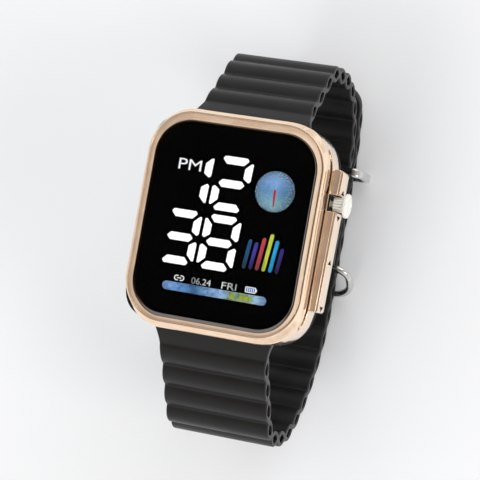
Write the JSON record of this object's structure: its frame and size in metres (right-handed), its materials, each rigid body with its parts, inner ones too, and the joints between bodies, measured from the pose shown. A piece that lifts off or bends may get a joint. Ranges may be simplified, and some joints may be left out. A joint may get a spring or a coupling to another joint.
{
  "type": "digital watch",
  "caption": "Digital watch with a rounded rectangular lit display, side crown with guard rail, and a ribbed tubular strap closed in a loop by a pin buckle and keeper.",
  "frame": {"origin": "centre of the case back's outer face", "axes": "+Z out of the display, +Y to 12 o'clock, +X to the crown"},
  "size_m": [0.0417, 0.0804, 0.0597],
  "materials": {
    "rose_gold": "plated and polished",
    "lens_clear": "clear",
    "adhesive": "black foam tape",
    "mask_black": "printed black",
    "lit_white": "white diffuser",
    "compass_blue": "printed blue",
    "hand_red": "red",
    "bars_colour": "printed colours",
    "pill_colour": "printed gradient",
    "guide_white": "moulded white",
    "board_green": "solder mask",
    "led_white": "moulded",
    "chip_black": "moulded",
    "can_metal": "drawn can",
    "cell_steel": "nickel plated",
    "contact_steel": "spring steel",
    "holder_black": "moulded",
    "case_black": "moulded",
    "cover_steel": "circular brushed",
    "gasket_rubber": "moulded",
    "screw_steel": "turned",
    "crown_steel": "polished",
    "strap_silicone": "matt silicone",
    "clasp_steel": "polished"
  },
  "bodies": {
    "root": {"bezel_frame": "rose_gold", "lens": "lens_clear", "lens_adhesive": "adhesive", "display_mask": "mask_black", "digit_segments": "lit_white", "compass_disc": "compass_blue", "compass_hand": "hand_red", "colour_bars": "bars_colour", "gradient_bar": "pill_colour", "light_guide": "guide_white", "main_board": "board_green", "led_chips": "led_white", "controller_chip": "chip_black", "quartz_crystal": "can_metal", "coin_cell": "cell_steel", "movement_holder": "holder_black", "cell_contact_top": "contact_steel", "cell_contact_side": "contact_steel", "switch_body": "chip_black", "case_body": "case_black", "back_cover": "cover_steel", "back_gasket": "gasket_rubber", "back_screws": "screw_steel", "crown_tube": "crown_steel", "crown_spring": "contact_steel", "strap_upper": "strap_silicone", "strap_lower": "strap_silicone", "buckle_pin": "clasp_steel", "spring_bar_tube_upper": "screw_steel", "spring_bar_spring_upper": "contact_steel", "spring_bar_tube_lower": "screw_steel", "spring_bar_spring_lower": "contact_steel"},
    "crown_slider": {"crown_clip": "contact_steel", "crown_o_ring": "gasket_rubber"},
    "crown": {"crown_knob": "crown_steel", "crown_stem": "crown_steel"},
    "switch_button": {"switch_plunger": "holder_black"},
    "buckle": {"buckle_ring": "clasp_steel"},
    "tang": {"buckle_tang": "clasp_steel"},
    "keeper": {"keeper_loop": "clasp_steel"},
    "tip_upper_left": {"spring_bar_tip_upper_left": "screw_steel"},
    "tip_upper_right": {"spring_bar_tip_upper_right": "screw_steel"},
    "tip_lower_left": {"spring_bar_tip_lower_left": "screw_steel"},
    "tip_lower_right": {"spring_bar_tip_lower_right": "screw_steel"}
  },
  "joints": [
    {"name": "crown_press", "type": "slide", "parent": "root", "child": "crown_slider", "axis": [-1, 0, 0], "range_m": [0, 0.0005], "stiffness_N_per_m": 1000, "springref_m": -0.0004, "deforming": ["crown_spring"]},
    {"name": "crown_turn", "type": "hinge", "parent": "crown_slider", "child": "crown", "pos_m": [0, 0.0076, 0.0046], "axis": [1, 0, 0], "continuous": true},
    {"name": "switch_press", "type": "slide", "parent": "root", "child": "switch_button", "axis": [-1, 0, 0], "range_m": [0, 0.0005]},
    {"name": "buckle_swing", "type": "hinge", "parent": "root", "child": "buckle", "pos_m": [0, -0.00287, -0.0399], "axis": [1, 0, 0], "range_deg": [0, 5]},
    {"name": "tang_swing", "type": "hinge", "parent": "buckle", "child": "tang", "pos_m": [0, -0.00287, -0.0399], "axis": [1, 0, 0], "range_deg": [0, 5]},
    {"name": "keeper_slide", "type": "slide", "parent": "root", "child": "keeper", "axis": [0, 1, 0], "range_m": [-0.015, 0.0005]},
    {"name": "tip_upper_left_slide", "type": "slide", "parent": "root", "child": "tip_upper_left", "axis": [1, 0, 0], "range_m": [0, 0.0013], "stiffness_N_per_m": 700, "springref_m": -0.0008, "deforming": ["spring_bar_spring_upper"]},
    {"name": "tip_upper_right_slide", "type": "slide", "parent": "root", "child": "tip_upper_right", "axis": [-1, 0, 0], "range_m": [0, 0.0013], "stiffness_N_per_m": 700, "springref_m": -0.0008, "deforming": ["spring_bar_spring_upper"]},
    {"name": "tip_lower_left_slide", "type": "slide", "parent": "root", "child": "tip_lower_left", "axis": [1, 0, 0], "range_m": [0, 0.0013], "stiffness_N_per_m": 700, "springref_m": -0.0008, "deforming": ["spring_bar_spring_lower"]},
    {"name": "tip_lower_right_slide", "type": "slide", "parent": "root", "child": "tip_lower_right", "axis": [-1, 0, 0], "range_m": [0, 0.0013], "stiffness_N_per_m": 700, "springref_m": -0.0008, "deforming": ["spring_bar_spring_lower"]}
  ],
  "couplings": [
    {"joint": "switch_press", "follows": "crown_press", "ratio": 1}
  ]
}
